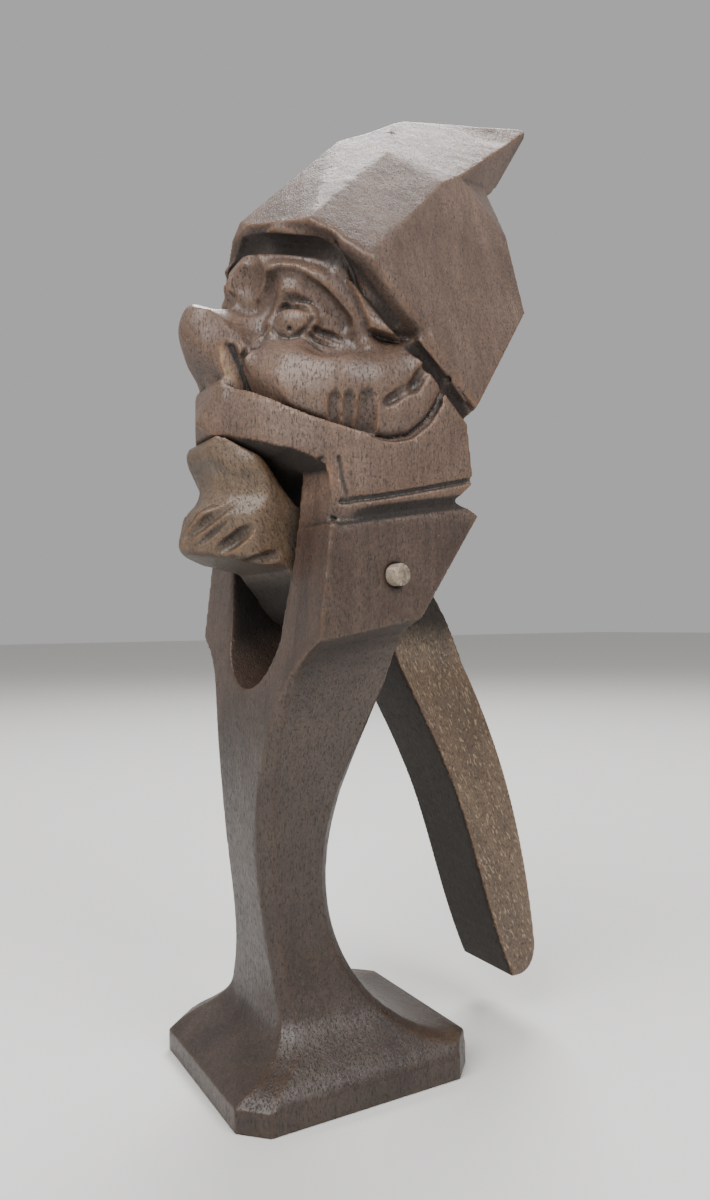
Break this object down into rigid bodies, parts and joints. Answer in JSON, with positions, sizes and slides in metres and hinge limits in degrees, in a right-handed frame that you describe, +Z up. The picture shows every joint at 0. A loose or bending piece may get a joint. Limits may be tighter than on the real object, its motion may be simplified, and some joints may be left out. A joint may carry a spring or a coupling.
{
  "type": "nutcracker figure",
  "caption": "Carved wooden gnome figure on a flared foot whose bearded jaw is one piece with a rear handle; squeezing the handle cracks a nut in the mouth.",
  "frame": {"origin": "centre of the base's underside", "axes": "+Z up, the figure looks along -Y, +X is the figure's left-hand side, so the pivot lies along X"},
  "size_m": [0.082, 0.1193, 0.2814],
  "materials": {
    "stained_wood": "satin, dark brown stain worn pale at the edges",
    "stained_wood_lever": "satin, dark brown stain with pale flecks",
    "pale_dowel": "matte end grain"
  },
  "bodies": {
    "figure": {"body": "stained_wood", "pivot_pin": "pale_dowel"},
    "lever": {"lever": "stained_wood_lever"}
  },
  "joints": [
    {"name": "jaw_hinge", "type": "hinge", "parent": "figure", "child": "lever", "pos_m": [0, 0.0042, 0.1317], "axis": [1, 0, 0], "range_deg": [0, 35]}
  ]
}
